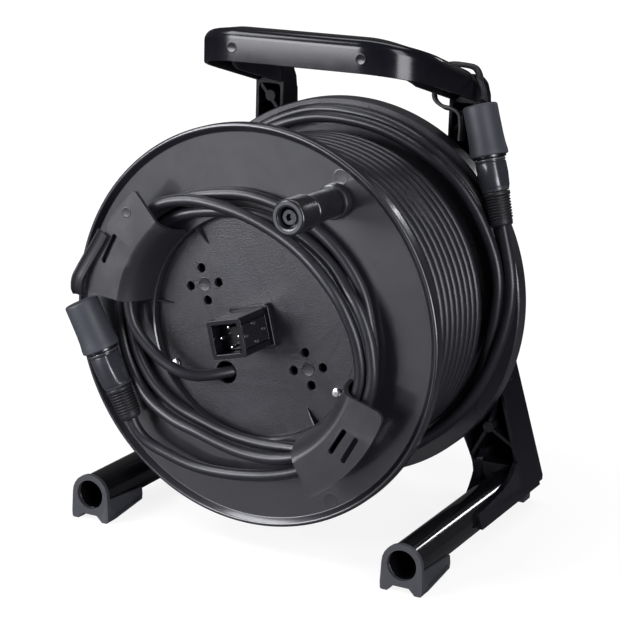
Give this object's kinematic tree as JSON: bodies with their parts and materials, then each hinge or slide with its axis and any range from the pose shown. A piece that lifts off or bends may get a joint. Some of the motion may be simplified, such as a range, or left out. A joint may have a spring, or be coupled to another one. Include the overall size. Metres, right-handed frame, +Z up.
{
  "type": "network cable drum",
  "caption": "Portable cable drum on a stand with a carrying handle, a crank knob and a wound network cable with a capped rugged connector on each end.",
  "frame": {"origin": "centre of the footprint, on the floor under the shoes", "axes": "+Z up, the drum's front with the crank knob faces -Y, the drum turns about Y"},
  "size_m": [0.2756, 0.2568, 0.342],
  "materials": {
    "black_plastic": "semi-gloss moulded black",
    "knob_plastic": "satin black",
    "pale_plastic": "plain",
    "grey_rubber": "matte grey",
    "black_rubber": "satin black",
    "tube_coat": "gloss black coat",
    "bright_steel": "bright",
    "shell_coat": "gloss black coat",
    "cable_skin": "satin black sheath"
  },
  "bodies": {
    "frame": {"rear_frame": "black_plastic", "handle": "black_plastic", "left_foot_tube": "tube_coat", "right_foot_tube": "tube_coat", "left_foot_shoe": "grey_rubber", "right_foot_shoe": "grey_rubber", "left_rear_pad": "grey_rubber", "right_rear_pad": "grey_rubber", "axle": "bright_steel", "rear_axle_washer": "bright_steel", "rear_axle_nut": "bright_steel", "front_axle_ring": "bright_steel", "outer_tail": "cable_skin", "outer_connector_cap": "grey_rubber", "outer_connector_ring": "bright_steel", "outer_connector_shell": "shell_coat", "outer_connector_boot": "black_rubber", "outer_strap": "grey_rubber"},
    "drum": {"front_bush": "pale_plastic", "rear_bush": "pale_plastic", "front_flange": "black_plastic", "rear_flange": "black_plastic", "drum_barrel": "black_plastic", "winding_core": "cable_skin", "winding_turns": "cable_skin", "inner_tail": "cable_skin", "hub_plate": "black_plastic", "hub_screw_1": "bright_steel", "hub_screw_2": "bright_steel", "hub_screw_3": "bright_steel", "block_base": "black_plastic", "centre_block": "black_plastic", "block_contacts": "pale_plastic", "side_contacts": "pale_plastic", "upper_holder": "black_plastic", "lower_holder": "black_plastic", "crank_pin": "black_plastic", "crank_screw": "bright_steel", "inner_connector_cap": "grey_rubber", "inner_connector_ring": "bright_steel", "inner_connector_shell": "shell_coat", "inner_connector_boot": "black_rubber", "inner_strap": "grey_rubber"},
    "crank_knob": {"crank_knob": "knob_plastic"}
  },
  "joints": [
    {"name": "drum_spin", "type": "hinge", "parent": "frame", "child": "drum", "pos_m": [0, -0.00915, 0.155], "axis": [0, 1, 0], "continuous": true},
    {"name": "knob_spin", "type": "hinge", "parent": "drum", "child": "crank_knob", "pos_m": [0.05921, -0.09915, 0.24687], "axis": [0, 1, 0], "continuous": true}
  ]
}
